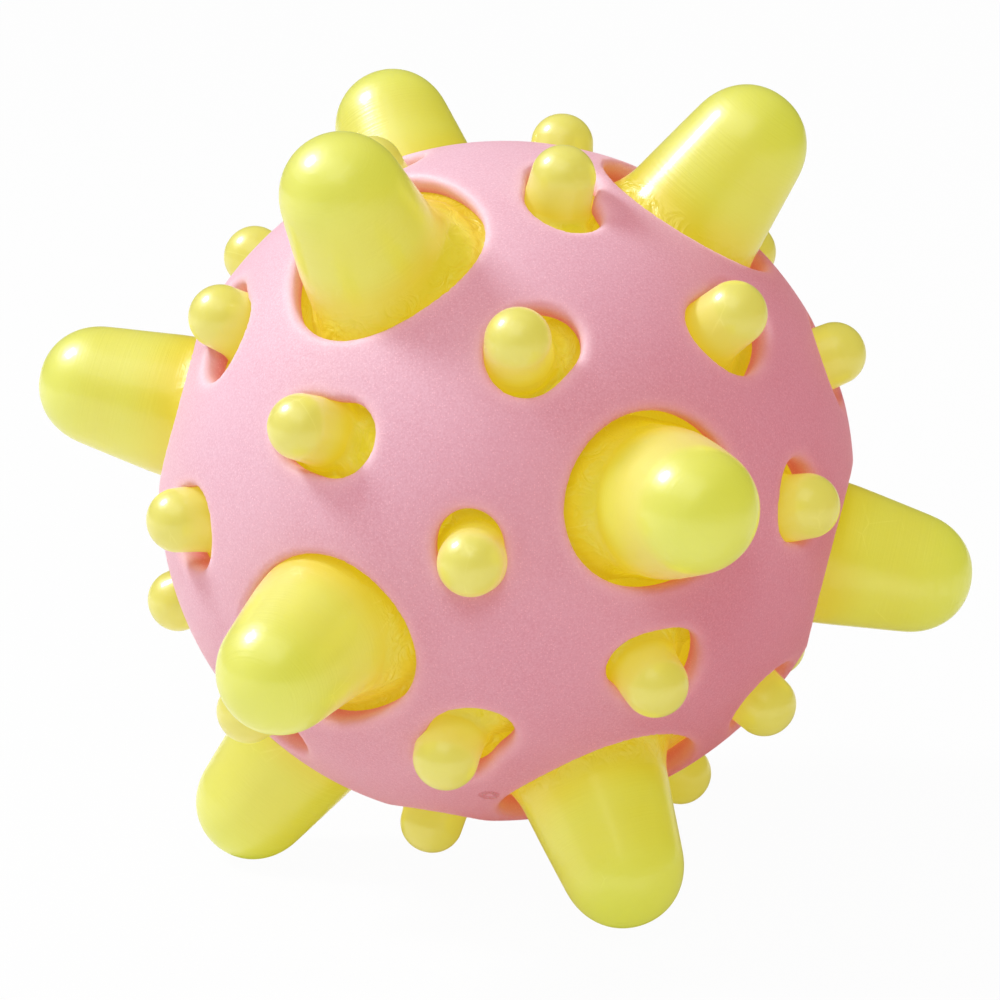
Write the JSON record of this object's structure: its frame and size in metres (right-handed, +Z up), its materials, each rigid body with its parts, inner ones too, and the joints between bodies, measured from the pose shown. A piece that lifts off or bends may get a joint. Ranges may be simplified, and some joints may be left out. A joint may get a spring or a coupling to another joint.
{
  "type": "sensory ball",
  "caption": "Soft sensory ball: a perforated rubber cover over a hollow inner ball whose long bending fingers and short press-in nubs stand out through the holes.",
  "frame": {"origin": "centre of the ball, which is also the centre of the box round it", "axes": "+Z up when the ball rests on its three foot fingers; +X towards the lower finger that stands below the first top finger"},
  "size_m": [0.0984, 0.0868, 0.082],
  "materials": {
    "cover": "matte, fine grain",
    "inner_ball": "glossy, translucent",
    "fingers": "satin, translucent",
    "nubs": "satin, translucent"
  },
  "bodies": {
    "core": {"cover": "cover", "inner_ball_upper": "inner_ball", "inner_ball_lower": "inner_ball"},
    "finger_top_1": {"finger_top_1": "fingers"},
    "finger_top_2": {"finger_top_2": "fingers"},
    "finger_top_3": {"finger_top_3": "fingers"},
    "finger_upper_1": {"finger_upper_1": "fingers"},
    "finger_upper_2": {"finger_upper_2": "fingers"},
    "finger_upper_3": {"finger_upper_3": "fingers"},
    "finger_lower_1": {"finger_lower_1": "fingers"},
    "finger_lower_2": {"finger_lower_2": "fingers"},
    "finger_lower_3": {"finger_lower_3": "fingers"},
    "finger_foot_1": {"finger_foot_1": "fingers"},
    "finger_foot_2": {"finger_foot_2": "fingers"},
    "finger_foot_3": {"finger_foot_3": "fingers"},
    "nub_01": {"nub_01": "nubs"},
    "nub_02": {"nub_02": "nubs"},
    "nub_03": {"nub_03": "nubs"},
    "nub_04": {"nub_04": "nubs"},
    "nub_05": {"nub_05": "nubs"},
    "nub_06": {"nub_06": "nubs"},
    "nub_07": {"nub_07": "nubs"},
    "nub_08": {"nub_08": "nubs"},
    "nub_09": {"nub_09": "nubs"},
    "nub_10": {"nub_10": "nubs"},
    "nub_11": {"nub_11": "nubs"},
    "nub_12": {"nub_12": "nubs"},
    "nub_13": {"nub_13": "nubs"},
    "nub_14": {"nub_14": "nubs"},
    "nub_15": {"nub_15": "nubs"},
    "nub_16": {"nub_16": "nubs"},
    "nub_17": {"nub_17": "nubs"},
    "nub_18": {"nub_18": "nubs"},
    "nub_19": {"nub_19": "nubs"},
    "nub_20": {"nub_20": "nubs"},
    "nub_21": {"nub_21": "nubs"},
    "nub_22": {"nub_22": "nubs"},
    "nub_23": {"nub_23": "nubs"},
    "nub_24": {"nub_24": "nubs"},
    "nub_25": {"nub_25": "nubs"},
    "nub_26": {"nub_26": "nubs"},
    "nub_27": {"nub_27": "nubs"},
    "nub_28": {"nub_28": "nubs"},
    "nub_29": {"nub_29": "nubs"},
    "nub_30": {"nub_30": "nubs"}
  },
  "joints": [
    {"name": "finger_top_1_bend", "type": "hinge", "parent": "core", "child": "finger_top_1", "pos_m": [0.02094, 0, 0.02742], "axis": [0, 1, 0], "range_deg": [-30, 30], "stiffness_Nm_per_rad": 0.15},
    {"name": "finger_top_2_bend", "type": "hinge", "parent": "core", "child": "finger_top_2", "pos_m": [-0.01047, 0.01814, 0.02742], "axis": [-0.866, -0.5, 0], "range_deg": [-30, 30], "stiffness_Nm_per_rad": 0.15},
    {"name": "finger_top_3_bend", "type": "hinge", "parent": "core", "child": "finger_top_3", "pos_m": [-0.01047, -0.01814, 0.02742], "axis": [0.866, -0.5, 0], "range_deg": [-30, 30], "stiffness_Nm_per_rad": 0.15},
    {"name": "finger_upper_1_bend", "type": "hinge", "parent": "core", "child": "finger_upper_1", "pos_m": [0.01694, 0.02935, 0.00647], "axis": [-0.866, 0.5, 0], "range_deg": [-30, 30], "stiffness_Nm_per_rad": 0.15},
    {"name": "finger_upper_2_bend", "type": "hinge", "parent": "core", "child": "finger_upper_2", "pos_m": [-0.03389, 0, 0.00647], "axis": [0, -1, 0], "range_deg": [-30, 30], "stiffness_Nm_per_rad": 0.15},
    {"name": "finger_upper_3_bend", "type": "hinge", "parent": "core", "child": "finger_upper_3", "pos_m": [0.01694, -0.02935, 0.00647], "axis": [0.866, 0.5, 0], "range_deg": [-30, 30], "stiffness_Nm_per_rad": 0.15},
    {"name": "finger_lower_1_bend", "type": "hinge", "parent": "core", "child": "finger_lower_1", "pos_m": [0.03389, 0, -0.00647], "axis": [0, 1, 0], "range_deg": [-30, 30], "stiffness_Nm_per_rad": 0.15},
    {"name": "finger_lower_2_bend", "type": "hinge", "parent": "core", "child": "finger_lower_2", "pos_m": [-0.01694, 0.02935, -0.00647], "axis": [-0.866, -0.5, 0], "range_deg": [-30, 30], "stiffness_Nm_per_rad": 0.15},
    {"name": "finger_lower_3_bend", "type": "hinge", "parent": "core", "child": "finger_lower_3", "pos_m": [-0.01694, -0.02935, -0.00647], "axis": [0.866, -0.5, 0], "range_deg": [-30, 30], "stiffness_Nm_per_rad": 0.15},
    {"name": "finger_foot_1_bend", "type": "hinge", "parent": "core", "child": "finger_foot_1", "pos_m": [0.01047, 0.01814, -0.02742], "axis": [-0.866, 0.5, 0], "range_deg": [-30, 30], "stiffness_Nm_per_rad": 0.15},
    {"name": "finger_foot_2_bend", "type": "hinge", "parent": "core", "child": "finger_foot_2", "pos_m": [-0.02094, 0, -0.02742], "axis": [0, -1, 0], "range_deg": [-30, 30], "stiffness_Nm_per_rad": 0.15},
    {"name": "finger_foot_3_bend", "type": "hinge", "parent": "core", "child": "finger_foot_3", "pos_m": [0.01047, -0.01814, -0.02742], "axis": [0.866, 0.5, 0], "range_deg": [-30, 30], "stiffness_Nm_per_rad": 0.15},
    {"name": "nub_01_press", "type": "slide", "parent": "core", "child": "nub_01", "axis": [-0.1784, -0.309, -0.9342], "range_m": [0, 0.0025], "stiffness_N_per_m": 800},
    {"name": "nub_02_press", "type": "slide", "parent": "core", "child": "nub_02", "axis": [-0.1784, 0.309, -0.9342], "range_m": [0, 0.0025], "stiffness_N_per_m": 800},
    {"name": "nub_03_press", "type": "slide", "parent": "core", "child": "nub_03", "axis": [-0.6455, -0.5, -0.5774], "range_m": [0, 0.0025], "stiffness_N_per_m": 800},
    {"name": "nub_04_press", "type": "slide", "parent": "core", "child": "nub_04", "axis": [-0.6455, 0.5, -0.5774], "range_m": [0, 0.0025], "stiffness_N_per_m": 800},
    {"name": "nub_05_press", "type": "slide", "parent": "core", "child": "nub_05", "axis": [-0.9342, 0, -0.3568], "range_m": [0, 0.0025], "stiffness_N_per_m": 800},
    {"name": "nub_06_press", "type": "slide", "parent": "core", "child": "nub_06", "axis": [0.3568, 0, -0.9342], "range_m": [0, 0.0025], "stiffness_N_per_m": 800},
    {"name": "nub_07_press", "type": "slide", "parent": "core", "child": "nub_07", "axis": [-0.1103, -0.809, -0.5774], "range_m": [0, 0.0025], "stiffness_N_per_m": 800},
    {"name": "nub_08_press", "type": "slide", "parent": "core", "child": "nub_08", "axis": [0.7558, -0.309, -0.5774], "range_m": [0, 0.0025], "stiffness_N_per_m": 800},
    {"name": "nub_09_press", "type": "slide", "parent": "core", "child": "nub_09", "axis": [0.4671, -0.809, -0.3568], "range_m": [0, 0.0025], "stiffness_N_per_m": 800},
    {"name": "nub_10_press", "type": "slide", "parent": "core", "child": "nub_10", "axis": [0.7558, 0.309, -0.5774], "range_m": [0, 0.0025], "stiffness_N_per_m": 800},
    {"name": "nub_11_press", "type": "slide", "parent": "core", "child": "nub_11", "axis": [-0.1103, 0.809, -0.5774], "range_m": [0, 0.0025], "stiffness_N_per_m": 800},
    {"name": "nub_12_press", "type": "slide", "parent": "core", "child": "nub_12", "axis": [0.4671, 0.809, -0.3568], "range_m": [0, 0.0025], "stiffness_N_per_m": 800},
    {"name": "nub_13_press", "type": "slide", "parent": "core", "child": "nub_13", "axis": [-0.866, -0.5, 0], "range_m": [0, 0.0025], "stiffness_N_per_m": 800},
    {"name": "nub_14_press", "type": "slide", "parent": "core", "child": "nub_14", "axis": [0, -1, 0], "range_m": [0, 0.0025], "stiffness_N_per_m": 800},
    {"name": "nub_15_press", "type": "slide", "parent": "core", "child": "nub_15", "axis": [-0.4671, -0.809, 0.3568], "range_m": [0, 0.0025], "stiffness_N_per_m": 800},
    {"name": "nub_16_press", "type": "slide", "parent": "core", "child": "nub_16", "axis": [0.866, -0.5, 0], "range_m": [0, 0.0025], "stiffness_N_per_m": 800},
    {"name": "nub_17_press", "type": "slide", "parent": "core", "child": "nub_17", "axis": [0.866, 0.5, 0], "range_m": [0, 0.0025], "stiffness_N_per_m": 800},
    {"name": "nub_18_press", "type": "slide", "parent": "core", "child": "nub_18", "axis": [0.9342, 0, 0.3568], "range_m": [0, 0.0025], "stiffness_N_per_m": 800},
    {"name": "nub_19_press", "type": "slide", "parent": "core", "child": "nub_19", "axis": [-0.866, 0.5, 0], "range_m": [0, 0.0025], "stiffness_N_per_m": 800},
    {"name": "nub_20_press", "type": "slide", "parent": "core", "child": "nub_20", "axis": [0, 1, 0], "range_m": [0, 0.0025], "stiffness_N_per_m": 800},
    {"name": "nub_21_press", "type": "slide", "parent": "core", "child": "nub_21", "axis": [-0.4671, 0.809, 0.3568], "range_m": [0, 0.0025], "stiffness_N_per_m": 800},
    {"name": "nub_22_press", "type": "slide", "parent": "core", "child": "nub_22", "axis": [-0.7558, -0.309, 0.5774], "range_m": [0, 0.0025], "stiffness_N_per_m": 800},
    {"name": "nub_23_press", "type": "slide", "parent": "core", "child": "nub_23", "axis": [-0.7558, 0.309, 0.5774], "range_m": [0, 0.0025], "stiffness_N_per_m": 800},
    {"name": "nub_24_press", "type": "slide", "parent": "core", "child": "nub_24", "axis": [0.1103, -0.809, 0.5774], "range_m": [0, 0.0025], "stiffness_N_per_m": 800},
    {"name": "nub_25_press", "type": "slide", "parent": "core", "child": "nub_25", "axis": [0.6455, -0.5, 0.5774], "range_m": [0, 0.0025], "stiffness_N_per_m": 800},
    {"name": "nub_26_press", "type": "slide", "parent": "core", "child": "nub_26", "axis": [0.6455, 0.5, 0.5774], "range_m": [0, 0.0025], "stiffness_N_per_m": 800},
    {"name": "nub_27_press", "type": "slide", "parent": "core", "child": "nub_27", "axis": [0.1103, 0.809, 0.5774], "range_m": [0, 0.0025], "stiffness_N_per_m": 800},
    {"name": "nub_28_press", "type": "slide", "parent": "core", "child": "nub_28", "axis": [0.1784, -0.309, 0.9342], "range_m": [0, 0.0025], "stiffness_N_per_m": 800},
    {"name": "nub_29_press", "type": "slide", "parent": "core", "child": "nub_29", "axis": [-0.3568, 0, 0.9342], "range_m": [0, 0.0025], "stiffness_N_per_m": 800},
    {"name": "nub_30_press", "type": "slide", "parent": "core", "child": "nub_30", "axis": [0.1784, 0.309, 0.9342], "range_m": [0, 0.0025], "stiffness_N_per_m": 800}
  ]
}
